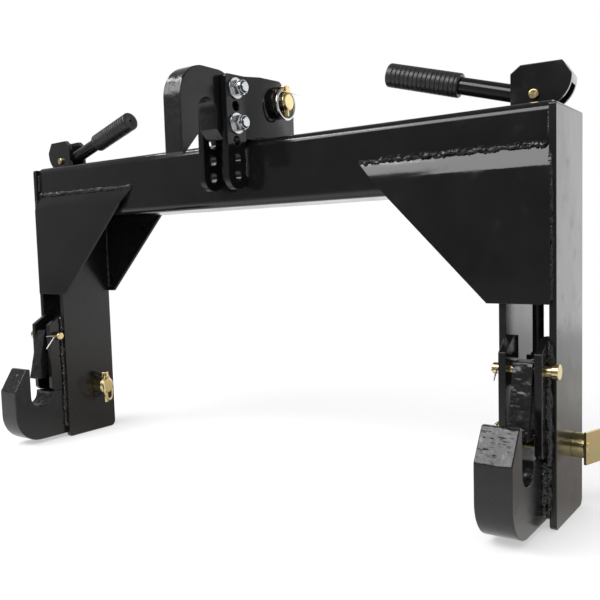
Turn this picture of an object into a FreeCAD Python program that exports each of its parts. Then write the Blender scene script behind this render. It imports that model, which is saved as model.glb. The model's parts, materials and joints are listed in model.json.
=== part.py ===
"""Category 2 three point quick hitch, built piece by piece in millimetres.

Frame: X runs along the cross beam, -Y is the implement side, +Y the tractor side, +Z is up.
The origin is midway between the two lower sockets, on the axis that both share.
Each leg is built about its own centre line, with x outward, and then set right and mirrored left.
"""
import math
import os

import FreeCAD
import Part

V = FreeCAD.Vector
os.makedirs("parts", exist_ok=True)

# Sizes that the hitch category fixes
hook_spacing = 825.0        # between the middles of the legs
lower_bushing_d = 36.6      # bushing that a lower socket takes
upper_bushing_d = 31.75     # bushing that the top hook takes
mast_height = 414.5         # top hook socket above the lower sockets, hook in its upper holes
mast_lead = 10.9            # top hook socket ahead of the lower sockets
link_pin_d = 28.4           # tractor lower link pin
upper_pin_d = 25.4          # tractor top link pin
socket_play = 0.45          # radial play of a bushing in its socket

# Legs
leg_gap = 47.0              # clear width between the two plates of a leg
leg_plate_t = 7.9
leg_proud = 5.5             # edges of the leg plates ahead of and behind the beam
leg_front = 47.0            # front edges of the leg plates behind the socket axis
leg_drop = 79.5             # feet of the leg plates below the socket axis
leg_toe = 3.0               # bevel at the lower front corner of an outer plate
leg_heel_r = 9.0            # rounded lower rear corner
leg_top_r = 3.0
leg_short = 4.0             # tops of the leg plates below the beam's top

# Cross beam
beam_width = 88.9           # height and depth of the square tube
hook_rise = 33.2            # top hook socket above the beam
beam_wall = 6.4
beam_corner_r = 12.0
rod_hole_play = 2.8

# Corner gussets
gusset_t = 4.5
gusset_lap = 2.5            # cover on the outer plate's edge
gusset_window = 35.7        # opening between the latch cheeks and the gusset
fold_rise = 16.7            # fold above the beam's underside
crest_height = 41.6         # weld line above the beam's underside
gusset_foot_reach = 44.2    # lower inner corner from the leg centre line
gusset_slope = 45.4         # of the free edge, in degrees

# Lower hooks
hook_front = 48.5           # front face ahead of the socket axis
hook_drop = 73.8            # underside below the socket axis
hook_toe_r = 45.0
hook_t = 40.5               # from the inner leg plate outward
hook_lap = 17.0             # length inside the leg
hook_shoulder = 3.0         # ledge behind the socket
tip_height = 46.6
tip_bevel = 34.1            # height of the sloping face on the prong
tip_run = 22.6              # depth of that face
tip_r = 2.5

# Cheeks that carry the latch
cheek_t = 8.2
cheek_setback = 3.75        # front edge behind the socket
cheek_height = 115.2
cheek_rise = 15.0           # extra height where the cheek enters the leg
cheek_bevel = 5.0
cheek_r = 1.5

# Latch
latch_t = 22.0
latch_shift = 2.7           # middle of the latch, outward of the leg's middle
latch_pin_d = 12.7
latch_pin_inset = 14.5      # pin behind the cheeks' front edge
latch_pin_z = 95.8
latch_nose_y = 5.0          # lower front corner, closed
latch_nose_z = 24.5
latch_nose_w = 17.0
latch_cover = 14.4          # metal ahead of the pin
latch_crown = 10.2          # metal above the pin
latch_arm_w = 24.0
latch_nose_r = 1.5
latch_crown_r = 3.0
latch_elbow_r = 6.0
latch_throat = 22.0         # underside of the elbow below the pin
latch_throat_r = 8.0
latch_pin_head_t = 7.0
latch_pin_head_d = 16.5
latch_pin_reach = 31.0      # head from the leg centre line
latch_pin_tail = 34.5       # free end from the leg centre line
latch_pin_taper = 1.2
cotter_d = 3.2              # hole for the cotter
cotter_play = 0.1
cotter_setback = 4.0        # cotter from the inner cheek
cotter_eye_d = 3.2
cotter_stem = 1.6           # eye behind the latch pin
cotter_leg = 16.0
cotter_wire = 2.0
cotter_bends = (3.0, -43.0) # slopes of the two spread legs, in degrees
pin_play = 0.2              # radial play of the hitch's own pins
slot_play = 0.8             # radial play of the yoke pin in the latch arm's slot

# Lift rod and the yoke at its foot
rod_d = 12.7
rod_shift = -4.0            # lift rod outward of the leg's middle
eye_d = 22.0
eye_t = 14.0
yoke_t = 5.0
yoke_w = 20.0
yoke_side_play = 1.2
yoke_roof = 6.0             # between the latch arm and the yoke
yoke_pin_d = 10.0
yoke_pin_len = 40.0

# Cam lever
lift = 28.0                 # travel of the lift rod
lever_swing = 90.0          # degrees
head_seat = 11.6            # pivot above the beam, latch closed
head_gap = 20.0             # between the two cheeks of the head
head_t = 6.0
head_play = 0.3             # between the head and the beam
head_back = 26.0
head_back_top = 25.0
head_top_in = 15.0
head_top = 33.3
head_top_out = 29.4
web_play = 2.0              # between the head's web and the lift rod, latch open
lever_pin_d = 11.0
lever_pin_len = 40.0
bar_slope = 15.4            # degrees above level, latch closed
bar_drop = 1.0              # bar's axis below the pivot
bar_start = 17.0
bar_end = 176.0
grip_start = 90.4
grip_end = 183.4
grip_d = 28.5
grip_edge_r = 2.0
grip_hole_d = 5.0
lever_turn = 5.0            # of a lever about its lift rod, grip towards the implement, in degrees

# Top bracket
bracket_gap = 34.0          # between the plates at the hook
ear_gap = 54.0              # between the plates at the top link
bracket_t = 9.5
bracket_reach = 38.5        # plates ahead of the beam
bracket_hang = 21.1         # foot above the beam's underside
bracket_foot_r = 18.0
bracket_front_r = 5.0
bracket_margin = 17.5       # top edge above the last hole
ear_rise = 3.5              # the plates' top edge climbs this much to the rear
ear_bevel_run = 30.5
ear_bevel_drop = 35.0
ear_overhang = 9.1          # ears behind the beam
ear_r = 8.0
jog_setback = 1.0           # where the joggle starts, behind the beam's face
jog_run = 20.0
hole_d = 13.5
hole_pitch = 23.0
hole_count = 6
hole_margin = 18.4          # first hole above the plates' foot
hole_inset = 18.9           # holes behind the plates' front edge

# Top hook
top_hook_t = 30.0
prong_reach = 49.6          # prong ahead of the socket axis
prong_drop = 61.0           # prong below the socket axis
prong_foot_bevel = 4.0
prong_slope_drop = 30.8     # top of the prong's lead-in below the socket axis
prong_r = 3.0
hook_margin = 23.6          # hook's top above its upper bolt
hook_crown_r = 45.0
hook_back_r = 38.0
hook_back_play = 2.0        # to the beam's front face
lead_in = 13.0
hook_foot_drop = 35.0       # rear body's underside below the socket axis

# Bolts through the bracket
bolt_d = 12.7
bolt_head_t = 8.0
bolt_flats = 19.0
bolt_stick_out = 2.5
washer_d = 28.0
washer_t = 2.5
nut_t = 13.0
nut_collar = 4.0            # round nylon collar at the end of a nut
nut_collar_d = 18.0

# Top link pin, its boss, and the linch pins
top_pin_lag = 15.0          # behind the middle of the beam
top_pin_rise = 55.0         # above the beam
boss_d = 45.0
boss_len = 8.0
pin_tail = 13.0             # pin beyond the boss
pin_taper = 2.5
pin_head_d = 36.0
pin_head_t = 7.0
linch_d = 9.0
linch_head_w = 10.0
linch_head_h = 9.0
linch_setback = 6.5         # linch pin from the end of the pin it locks
linch_tail = 7.0            # linch pin below the pin it locks
ring_wire = 4.0
ring_r = 20.5
ring_hole_play = 0.8        # radial play of a ring in its head block
ring_sag = 0.3

# Lower link pins
link_pin_inset = 33.0       # pin ahead of the leg's rear edge
link_pin_rise = 0.5         # pin above the socket axis
link_pin_head_gap = 18.5    # outer plate to the lock plate
link_pin_tail = 24.0        # beyond the inner plate
link_pin_taper = 3.5
lower_linch_d = 7.0
lower_linch_tail = 16.0
lower_ring_r = 22.5
linch_turn = 35.0           # of a lower linch pin about its own axis, in degrees
lower_ring_lean = 9.0       # degrees, where a lower ring rests on its linch pin
flag_t = 3.5
flag_w = 30.0
flag_h = 37.0
flag_turn = 18.0            # degrees

# Values that follow from the sizes above
over = 1.0                  # a cutter reaches this far past the face it cuts
parallel = 1e-6             # angle or length that counts as nothing
side_x = hook_spacing / 2
gap_half = leg_gap / 2
leg_half = gap_half + leg_plate_t
beam_front = leg_front + leg_proud
beam_rear = beam_front + beam_width
leg_mid = beam_front + beam_width / 2
leg_rear = beam_rear + leg_proud
beam_top = mast_height - hook_rise
plate_top = beam_top - leg_short
beam_foot = beam_top - beam_width
beam_half = side_x + gap_half
socket_r = lower_bushing_d / 2 + socket_play
hook_tail = leg_front + hook_lap
cheek_front = socket_r + cheek_setback
gusset_foot = cheek_height + cheek_rise + gusset_window
gusset_fold = beam_foot + fold_rise
gusset_crest = beam_foot + crest_height
bracket_front = beam_front - bracket_reach
bracket_foot = beam_foot + bracket_hang
jog_start = beam_front + jog_setback
jog_end = jog_start + jog_run
ear_rear = beam_rear + ear_overhang
hole_y = bracket_front + hole_inset
hole_first = bracket_foot + hole_margin
bracket_top = hole_first + (hole_count - 1) * hole_pitch + bracket_margin
top_socket_r = upper_bushing_d / 2 + socket_play
top_socket_y = -mast_lead
top_pin_y = leg_mid + top_pin_lag
top_pin_z = beam_top + top_pin_rise
link_pin_y = leg_rear - link_pin_inset
link_pin_z = link_pin_rise
latch_pin_y = cheek_front + latch_pin_inset
pivot_z = beam_top + head_seat
reach = leg_mid - latch_pin_y
arm_lean = math.asin(lift / 2 / reach)
arm_r = 2 * reach / (1 + math.cos(arm_lean))
latch_swing = 2 * math.asin(lift / 2 / arm_r)
arm_y = latch_pin_y + arm_r * math.cos(latch_swing / 2)
arm_z = latch_pin_z - lift / 2
arm_drift = arm_r * (1 - math.cos(latch_swing / 2))


def face(corners, place):
    """Flat face from corners (u, v, radius), each rounded by its radius, set in space by place(u, v)."""
    count = len(corners)
    edges = []
    spans = []
    for i, (u, v, r) in enumerate(corners):
        here = V(u, v, 0)
        before = V(corners[i - 1][0], corners[i - 1][1], 0)
        after = V(corners[(i + 1) % count][0], corners[(i + 1) % count][1], 0)
        a = (before - here).normalize()
        b = (after - here).normalize()
        half = a.getAngle(b) / 2
        if r <= 0 or half > math.pi / 2 - parallel:
            spans.append((here, None, here))
            continue
        run = r / math.tan(half)
        middle = (a + b).normalize()
        crown = here + middle * (r / math.sin(half) - r)
        spans.append((here + a * run, crown, here + b * run))
    for i, (start, crown, end) in enumerate(spans):
        if crown is not None:
            edges.append(Part.Arc(place(start.x, start.y), place(crown.x, crown.y),
                                  place(end.x, end.y)).toShape())
        nxt = spans[(i + 1) % count][0]
        if (nxt - end).Length > parallel:
            edges.append(Part.LineSegment(place(end.x, end.y), place(nxt.x, nxt.y)).toShape())
    return Part.Face(Part.Wire(edges))


def side_plate(corners, x0, x1):
    """Plate between x0 and x1 whose outline is given in (y, z, radius)."""
    return face(corners, lambda y, z: V(x0, y, z)).extrude(V(x1 - x0, 0, 0))


def front_plate(corners, y0, y1):
    """Plate between y0 and y1 whose outline is given in (x, z, radius)."""
    return face(corners, lambda x, z: V(x, y0, z)).extrude(V(0, y1 - y0, 0))


def box(x0, x1, y0, y1, z0, z1):
    """Box between the given planes."""
    return Part.makeBox(x1 - x0, y1 - y0, z1 - z0, V(x0, y0, z0))


def rod_x(d, x0, x1, y, z):
    """Round bar of diameter d along X."""
    return Part.makeCylinder(d / 2, x1 - x0, V(x0, y, z), V(1, 0, 0))


def rod_y(d, y0, y1, x, z):
    """Round bar of diameter d along Y."""
    return Part.makeCylinder(d / 2, y1 - y0, V(x, y0, z), V(0, 1, 0))


def rod_z(d, z0, z1, x, y):
    """Round bar of diameter d along Z."""
    return Part.makeCylinder(d / 2, z1 - z0, V(x, y, z0), V(0, 0, 1))


def hexagon_x(flats, x0, x1, y, z):
    """Hexagonal prism along X."""
    reach_out = flats / math.sqrt(3)
    corners = [(y + reach_out * math.cos(math.radians(60 * i)),
                z + reach_out * math.sin(math.radians(60 * i)), 0) for i in range(6)]
    return side_plate(corners, x0, x1)


def tapered_end(d, x_end, x_from, taper, y, z):
    """Round bar along X from x_from to x_end, with the last stretch tapered by taper on the radius."""
    way = 1 if x_end > x_from else -1
    straight = abs(x_end - x_from) - taper
    body = Part.makeCylinder(d / 2, straight, V(x_from, y, z), V(way, 0, 0))
    nose = Part.makeCone(d / 2, d / 2 - taper, taper, V(x_from + way * straight, y, z), V(way, 0, 0))
    return body.fuse(nose).removeSplitter()


def save(name, shape):
    """Write one node."""
    if not shape.isValid() or not shape.Solids:
        raise ValueError(name + " is not a valid solid")
    shape.exportStep("parts/" + name + ".step")


def save_pair(name, shape):
    """Write a leg piece twice: moved out to the right leg, and mirrored to the left leg."""
    right = shape.copy()
    right.translate(V(side_x, 0, 0))
    save(name + "_right", right)
    save(name + "_left", right.mirror(V(0, 0, 0), V(1, 0, 0)))


def swivelled(shape):
    """Lever piece of a leg turned about the lift rod's axis, as far as the lever is turned."""
    turned = shape.copy()
    turned.rotate(V(rod_shift, leg_mid, 0), V(0, 0, 1), lever_turn)
    return turned


# Cross beam: square tube with a hole through its top and bottom walls for each lift rod
tube_outer = side_plate([(beam_front, beam_foot, beam_corner_r), (beam_rear, beam_foot, beam_corner_r),
                         (beam_rear, beam_top, beam_corner_r), (beam_front, beam_top, beam_corner_r)],
                        -beam_half, beam_half)
inner_r = beam_corner_r - beam_wall
tube_inner = side_plate([(beam_front + beam_wall, beam_foot + beam_wall, inner_r),
                         (beam_rear - beam_wall, beam_foot + beam_wall, inner_r),
                         (beam_rear - beam_wall, beam_top - beam_wall, inner_r),
                         (beam_front + beam_wall, beam_top - beam_wall, inner_r)],
                        -beam_half - over, beam_half + over)
cross_beam = tube_outer.cut(tube_inner)
for way in (-1, 1):
    cross_beam = cross_beam.cut(rod_z(rod_d + 2 * rod_hole_play, beam_foot - over, beam_top + over,
                                      way * (side_x + rod_shift), leg_mid))
save("cross_beam", cross_beam)

# Leg plates: the outer one runs the full height, the inner one stops under the beam
link_hole_d = link_pin_d + 2 * pin_play
outer_plate = side_plate([(leg_front + leg_toe, -leg_drop, 0), (leg_rear, -leg_drop, leg_heel_r),
                          (leg_rear, plate_top, leg_top_r), (leg_front, plate_top, leg_top_r),
                          (leg_front, -leg_drop + leg_toe, 0)], gap_half, leg_half)
outer_plate = outer_plate.cut(rod_x(link_hole_d, gap_half - over, leg_half + over, link_pin_y, link_pin_z))
save_pair("leg_outer_plate", outer_plate)
inner_plate = side_plate([(leg_front + leg_toe, -leg_drop, 0), (leg_rear, -leg_drop, leg_heel_r),
                          (leg_rear, beam_foot, 0), (leg_front, beam_foot, 0),
                          (leg_front, -leg_drop + leg_toe, 0)], -leg_half, -gap_half)
inner_plate = inner_plate.cut(rod_x(link_hole_d, -leg_half - over, -gap_half + over, link_pin_y, link_pin_z))
save_pair("leg_inner_plate", inner_plate)

# Gussets: bent plate across a leg's edge, folded back to the beam face, free edge at a slope
crest_run = beam_front - (leg_front - gusset_t)
crest_rise = gusset_crest - gusset_fold
crest_len = math.hypot(crest_run, crest_rise)
skin_y = leg_front - gusset_t + gusset_t * crest_rise / crest_len
skin_z = gusset_fold - gusset_t * crest_run / crest_len
inner_fold_z = skin_z + (leg_front - skin_y) * crest_rise / crest_run
inner_crest_z = skin_z + (beam_front - skin_y) * crest_rise / crest_run
gusset_out = gap_half + gusset_lap
gusset_in = -gusset_foot_reach - (gusset_crest - gusset_foot) / math.tan(math.radians(gusset_slope))
gusset = side_plate([(leg_front - gusset_t, gusset_foot, 0), (leg_front - gusset_t, gusset_fold, 0),
                     (beam_front, gusset_crest, 0), (beam_front, inner_crest_z, 0),
                     (leg_front, inner_fold_z, 0), (leg_front, gusset_foot, 0)], gusset_in, gusset_out)
free_edge = front_plate([(-gusset_foot_reach, gusset_foot, 0), (gusset_in, gusset_crest, 0),
                         (gusset_in - over, gusset_crest, 0), (gusset_in - over, gusset_foot - over, 0),
                         (-gusset_foot_reach, gusset_foot - over, 0)],
                        leg_front - 2 * gusset_t, beam_front + over)
front_gusset = gusset.cut(free_edge).cut(outer_plate)
save_pair("front_gusset", front_gusset)
save_pair("rear_gusset", front_gusset.mirror(V(0, leg_mid, 0), V(0, 1, 0)))

# Lower hooks: thick J plates, open upward, with a ledge behind the socket
hook = side_plate([(-hook_front, -hook_drop, hook_toe_r), (hook_tail, -hook_drop, 0),
                   (hook_tail, hook_shoulder, 0), (socket_r, hook_shoulder, 0),
                   (socket_r, 0, 0), (-socket_r, 0, 0),
                   (-socket_r, tip_height, tip_r), (-hook_front + tip_run, tip_height, tip_r),
                   (-hook_front, tip_height - tip_bevel, tip_r)], -gap_half, hook_t - gap_half)
hook = hook.cut(rod_x(2 * socket_r, -gap_half - over, gap_half + over, 0, 0))
save_pair("lower_hook", hook.removeSplitter())

# Cheeks: a plate on each side of the latch, standing on the hook's ledge
cheek_outline = [(cheek_front + cheek_bevel, hook_shoulder, 0), (hook_tail, hook_shoulder, 0),
                 (hook_tail, cheek_height + cheek_rise, 0), (leg_front, cheek_height + cheek_rise, 0),
                 (cheek_front, cheek_height, cheek_r), (cheek_front, hook_shoulder + cheek_bevel, 0)]
latch_hole_d = latch_pin_d + 2 * pin_play
for name, x0 in (("latch_cheek_outer", gap_half - cheek_t), ("latch_cheek_inner", -gap_half)):
    cheek = side_plate(cheek_outline, x0, x0 + cheek_t)
    cheek = cheek.cut(rod_x(latch_hole_d, x0 - over, x0 + cheek_t + over, latch_pin_y, latch_pin_z))
    save_pair(name, cheek)

# Latch: flame cut bar with a nose over the socket and an arm back to the lift rod
lean = math.atan2(latch_pin_z - latch_nose_z, latch_pin_y - latch_nose_y)
span = math.hypot(latch_pin_z - latch_nose_z, latch_pin_y - latch_nose_y)
front_angle = lean + math.asin(latch_cover / span)
crown_z = latch_pin_z + latch_crown
crown_y = latch_nose_y + (crown_z - latch_nose_z) / math.tan(front_angle)
arm_half = latch_arm_w / 2
elbow_y = latch_pin_y + latch_crown
latch = side_plate([(latch_nose_y, latch_nose_z, latch_nose_r), (crown_y, crown_z, latch_crown_r),
                    (elbow_y, crown_z, latch_elbow_r), (arm_y, arm_z + arm_half, 0),
                    (arm_y, arm_z - arm_half, 0), (elbow_y, latch_pin_z - latch_throat, latch_throat_r),
                    (latch_nose_y + latch_nose_w, latch_nose_z, latch_nose_r)],
                   latch_shift - latch_t / 2, latch_shift + latch_t / 2)
latch = latch.fuse(rod_x(latch_arm_w, latch_shift - latch_t / 2, latch_shift + latch_t / 2,
                         arm_y, arm_z)).removeSplitter()
latch = latch.cut(rod_x(latch_hole_d, -latch_t, latch_t, latch_pin_y, latch_pin_z))
slot_r = yoke_pin_d / 2 + slot_play
slot_run = 2 * arm_drift
slot = rod_x(2 * slot_r, -latch_t, latch_t, arm_y - slot_run, arm_z)
slot = slot.fuse(rod_x(2 * slot_r, -latch_t, latch_t, arm_y + slot_run, arm_z))
slot = slot.fuse(box(-latch_t, latch_t, arm_y - slot_run, arm_y + slot_run, arm_z - slot_r, arm_z + slot_r))
latch = latch.cut(slot.removeSplitter())
save_pair("latch", latch)

# Latch pin with its head outside, and the cotter through its tail
cotter_x = -gap_half - cotter_setback
latch_pin = tapered_end(latch_pin_d, -latch_pin_tail, latch_pin_reach, latch_pin_taper,
                        latch_pin_y, latch_pin_z)
latch_pin = latch_pin.fuse(rod_x(latch_pin_head_d, latch_pin_reach, latch_pin_reach + latch_pin_head_t,
                                 latch_pin_y, latch_pin_z)).removeSplitter()
latch_pin = latch_pin.cut(rod_y(cotter_d, latch_pin_y - latch_pin_d, latch_pin_y + latch_pin_d,
                                cotter_x, latch_pin_z))
save_pair("latch_pin", latch_pin)
cotter_back = latch_pin_y + latch_pin_d / 2 + cotter_stem
cotter_front = latch_pin_y - latch_pin_d / 2
cotter = rod_y(cotter_d - 2 * cotter_play, cotter_front - cotter_wire, cotter_back,
               cotter_x, latch_pin_z)
cotter = cotter.fuse(Part.makeSphere(cotter_eye_d / 2, V(cotter_x, cotter_back, latch_pin_z)))
for bend in cotter_bends:
    way = V(0, -math.cos(math.radians(bend)), math.sin(math.radians(bend)))
    cotter = cotter.fuse(Part.makeCylinder(cotter_wire / 2, cotter_leg,
                                           V(cotter_x, cotter_front - cotter_wire / 2, latch_pin_z), way))
save_pair("latch_cotter", cotter)

# Lift rod with its eye, the yoke at its foot and the yoke pin
yoke_half = latch_t / 2 + yoke_side_play
yoke_bridge = arm_z + arm_half + yoke_roof
lift_rod = rod_z(rod_d, yoke_bridge + yoke_t, pivot_z, rod_shift, leg_mid)
lift_rod = lift_rod.fuse(rod_y(eye_d, leg_mid - eye_t / 2, leg_mid + eye_t / 2, rod_shift, pivot_z))
lift_rod = lift_rod.cut(rod_y(lever_pin_d + 2 * pin_play, leg_mid - eye_t, leg_mid + eye_t,
                               rod_shift, pivot_z))
save_pair("lift_rod", swivelled(lift_rod))
yoke = box(latch_shift - yoke_half - yoke_t, latch_shift + yoke_half + yoke_t,
           leg_mid - yoke_w / 2, leg_mid + yoke_w / 2,
           arm_z - arm_half, yoke_bridge + yoke_t)
yoke = yoke.cut(box(latch_shift - yoke_half, latch_shift + yoke_half, leg_mid - yoke_w, leg_mid + yoke_w,
                    arm_z - leg_gap, yoke_bridge))
yoke = yoke.cut(rod_x(yoke_pin_d, -leg_gap, leg_gap, leg_mid, arm_z))
save_pair("lift_yoke", yoke)
yoke_pin = rod_x(yoke_pin_d, latch_shift - yoke_pin_len / 2, latch_shift + yoke_pin_len / 2,
                 leg_mid, arm_z)
save_pair("yoke_pin", yoke_pin)

# Lever head: two cheeks and an outer web, bent from one plate; the lower corner is the cam
cam_gain = lift / math.radians(lever_swing)
seat = head_seat - head_play
cam = []
for i in range(9):
    turn = math.radians(lever_swing) * i / 8
    support = seat + cam_gain * turn
    angle = turn - math.pi / 2
    cam.append(V(support * math.cos(angle) - cam_gain * math.sin(angle), 0,
                 support * math.sin(angle) + cam_gain * math.cos(angle)))
cam_curve = Part.BSplineCurve()
cam_curve.interpolate(cam)
tops = [cam[-1], V(head_top_out, 0, head_top), V(-head_top_in, 0, head_top),
        V(-head_back, 0, head_back_top), V(-head_back, 0, -seat), cam[0]]
head_edges = [cam_curve.toShape()]
for start, end in zip(tops, tops[1:]):
    head_edges.append(Part.LineSegment(start, end).toShape())
head_half = head_gap / 2 + head_t
head = Part.Face(Part.Wire(head_edges)).extrude(V(0, 2 * head_half, 0))
head.translate(V(0, -head_half, 0))
rim = (tops[1] - tops[0]).normalize()
inward = V(-rim.z, 0, rim.x)
web_line = tops[0] + inward * head_t
far = 4 * head_top
hollow = Part.Face(Part.makePolygon([web_line - rim * far, web_line + rim * far,
                                     web_line + rim * far + inward * far,
                                     web_line - rim * far + inward * far,
                                     web_line - rim * far])).extrude(V(0, head_gap, 0))
hollow.translate(V(0, -head_gap / 2, 0))
hollow = hollow.fuse(box(-far, far, -head_gap / 2, head_gap / 2, -far, rod_d / 2 + web_play))
head = head.cut(hollow)
head = head.cut(rod_y(lever_pin_d, -2 * head_half, 2 * head_half, 0, 0))
head.translate(V(rod_shift, leg_mid, pivot_z))
save_pair("lever_head", swivelled(head))

# Lever bar, grip and pivot pin
slope = math.radians(bar_slope)
along = V(-math.cos(slope), 0, math.sin(slope))
root = V(rod_shift, leg_mid, pivot_z - bar_drop)
bar = Part.makeCylinder(head_gap / 2, bar_end - bar_start, root + along * bar_start, along)
save_pair("lever_bar", swivelled(bar))
grip = Part.makeCylinder(grip_d / 2, grip_end - grip_start, root + along * grip_start, along)
grip = grip.makeFillet(grip_edge_r, [e for e in grip.Edges if e.Curve.TypeId == "Part::GeomCircle"])
grip = grip.cut(Part.makeCylinder(head_gap / 2, bar_end - grip_start, root + along * grip_start, along))
grip = grip.cut(Part.makeCylinder(grip_hole_d / 2, grip_end, root + along * (bar_end - over), along))
save_pair("lever_grip", swivelled(grip))
lever_pin = rod_y(lever_pin_d, leg_mid - lever_pin_len / 2, leg_mid + lever_pin_len / 2,
                  rod_shift, pivot_z)
save_pair("lever_pin", swivelled(lever_pin))

# Lower link pins with the turned lock plate outside
pin_out = leg_half + link_pin_head_gap
link_pin = tapered_end(link_pin_d, -leg_half - link_pin_tail, pin_out, link_pin_taper,
                       link_pin_y, link_pin_z)
flag = box(0, flag_t, -flag_w / 2, flag_w / 2, -flag_h / 2, flag_h / 2)
flag.rotate(V(0, 0, 0), V(0, 0, 1), -flag_turn)
flag.translate(V(pin_out, link_pin_y, link_pin_z))
link_pin = link_pin.fuse(flag)
lower_linch_x = -leg_half - link_pin_tail + linch_setback
link_pin = link_pin.cut(rod_z(lower_linch_d + 2 * pin_play, link_pin_z - link_pin_d, link_pin_z + link_pin_d,
                              lower_linch_x, link_pin_y))
save_pair("lower_link_pin", link_pin)


def linch_pin(pin_d, d, tail, x, y, z):
    """Linch pin down through a pin of diameter pin_d: shank, and a head block bored for the ring."""
    seat_z = z + pin_d / 2
    shank = rod_z(d, z - pin_d / 2 - tail, seat_z, x, y)
    block = box(x - linch_head_h / 2, x + linch_head_h / 2, y - linch_head_w / 2, y + linch_head_w / 2,
                seat_z, seat_z + linch_head_h)
    bored = shank.fuse(block).removeSplitter()
    return bored.cut(rod_y(ring_wire + 2 * ring_hole_play, y - linch_head_w, y + linch_head_w,
                           x, seat_z + linch_head_h / 2))


def linch_ring(pin_d, r, lean, x, y, z):
    """Spring ring through the head block and round the end of the pin, leaning towards -X at its foot."""
    top = z + pin_d / 2 + linch_head_h / 2
    ring = Part.makeTorus(r, ring_wire / 2)
    ring.rotate(V(0, 0, 0), V(0, 1, 0), 90)
    ring.translate(V(x, y, top - r + ring_sag))
    ring.rotate(V(x, y, top), V(0, 1, 0), lean)
    return ring


lower_linch = linch_pin(link_pin_d, lower_linch_d, lower_linch_tail, lower_linch_x, link_pin_y, link_pin_z)
lower_ring = linch_ring(link_pin_d, lower_ring_r, lower_ring_lean, lower_linch_x, link_pin_y, link_pin_z)
for turned in (lower_linch, lower_ring):
    turned.rotate(V(lower_linch_x, link_pin_y, 0), V(0, 0, 1), -linch_turn)
save_pair("lower_linch_pin", lower_linch)
save_pair("lower_linch_ring", lower_ring)

# Bracket plates: close together at the hook, joggled apart over the beam for the top link
near = bracket_gap / 2
wide = ear_gap / 2
plan = [(near, bracket_front, 0), (near, jog_start, 0), (wide, jog_end, 0), (wide, ear_rear, 0),
        (wide + bracket_t, ear_rear, 0), (wide + bracket_t, jog_end, 0),
        (near + bracket_t, jog_start, 0), (near + bracket_t, bracket_front, 0)]
sheet = face(plan, lambda x, y: V(x, y, bracket_foot)).extrude(V(0, 0, bracket_top + ear_rise - bracket_foot))
mask = side_plate([(bracket_front, bracket_foot, bracket_foot_r),
                   (beam_front, bracket_foot, bracket_foot_r),
                   (beam_front, beam_top, 0), (ear_rear, beam_top, 0),
                   (ear_rear, bracket_top + ear_rise - ear_bevel_drop, ear_r),
                   (ear_rear - ear_bevel_run, bracket_top + ear_rise, ear_r),
                   (bracket_front, bracket_top, bracket_front_r)],
                  near - over, wide + bracket_t + over)
plate = sheet.common(mask)
plate = plate.cut(rod_x(upper_pin_d + 2 * pin_play, near, wide + 2 * bracket_t, top_pin_y, top_pin_z))
for i in range(hole_count):
    plate = plate.cut(rod_x(hole_d, near - over, near + bracket_t + over,
                            hole_y, hole_first + i * hole_pitch))
save("bracket_plate_right", plate)
save("bracket_plate_left", plate.mirror(V(0, 0, 0), V(1, 0, 0)))
boss_face = wide + bracket_t
boss = rod_x(boss_d, boss_face, boss_face + boss_len, top_pin_y, top_pin_z)
boss = boss.cut(rod_x(upper_pin_d + 2 * pin_play, boss_face - over, boss_face + boss_len + over,
                      top_pin_y, top_pin_z))
save("pin_boss_right", boss)
save("pin_boss_left", boss.mirror(V(0, 0, 0), V(1, 0, 0)))

# Top hook: thick plate between the bracket plates, socket open downward
prong_front = top_socket_y - prong_reach
prong_foot = mast_height - prong_drop
mouth_front = top_socket_y - top_socket_r
mouth_rear = top_socket_y + top_socket_r
hook_foot = mast_height - hook_foot_drop
hook_rear = beam_front - hook_back_play
bolt_rows = [hole_first + i * hole_pitch for i in (hole_count - 3, hole_count - 1)]
hook_top = bolt_rows[-1] + hook_margin
top_hook = side_plate([(prong_front, prong_foot + prong_foot_bevel, 0),
                       (prong_front + prong_foot_bevel, prong_foot, 0),
                       (mouth_front, mast_height - prong_slope_drop, prong_r),
                       (mouth_front, mast_height, 0), (mouth_rear, mast_height, 0),
                       (mouth_rear, hook_foot + lead_in, 0), (mouth_rear + lead_in, hook_foot, 0),
                       (hook_rear, hook_foot, 0), (hook_rear, hook_top, hook_back_r),
                       (prong_front, hook_top, hook_crown_r)], -top_hook_t / 2, top_hook_t / 2)
top_hook = top_hook.cut(rod_x(2 * top_socket_r, -top_hook_t, top_hook_t, top_socket_y, mast_height))
for z in bolt_rows:
    top_hook = top_hook.cut(rod_x(hole_d, -top_hook_t, top_hook_t, hole_y, z))
save("top_hook", top_hook)

# Bolts, washers and lock nuts through the bracket
outside = near + bracket_t
bolts = []
washers = []
nuts = []
for z in bolt_rows:
    bolt_end = outside + washer_t + nut_t + bolt_stick_out
    shank = rod_x(bolt_d, -outside - washer_t, bolt_end, hole_y, z)
    bolts.append(shank.fuse(hexagon_x(bolt_flats, -outside - washer_t - bolt_head_t, -outside - washer_t,
                                      hole_y, z)))
    for x0 in (-outside - washer_t, outside):
        ring = rod_x(washer_d, x0, x0 + washer_t, hole_y, z)
        washers.append(ring.cut(rod_x(bolt_d, x0 - over, x0 + washer_t + over, hole_y, z)))
    nut_x = outside + washer_t
    nut = hexagon_x(bolt_flats, nut_x, nut_x + nut_t - nut_collar, hole_y, z)
    nut = nut.fuse(rod_x(nut_collar_d, nut_x, nut_x + nut_t, hole_y, z))
    nuts.append(nut.cut(rod_x(bolt_d, nut_x - over, nut_x + nut_t + over, hole_y, z)))
save("hook_bolts", Part.makeCompound(bolts))
save("hook_washers", Part.makeCompound(washers))
save("hook_nuts", Part.makeCompound(nuts))

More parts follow.
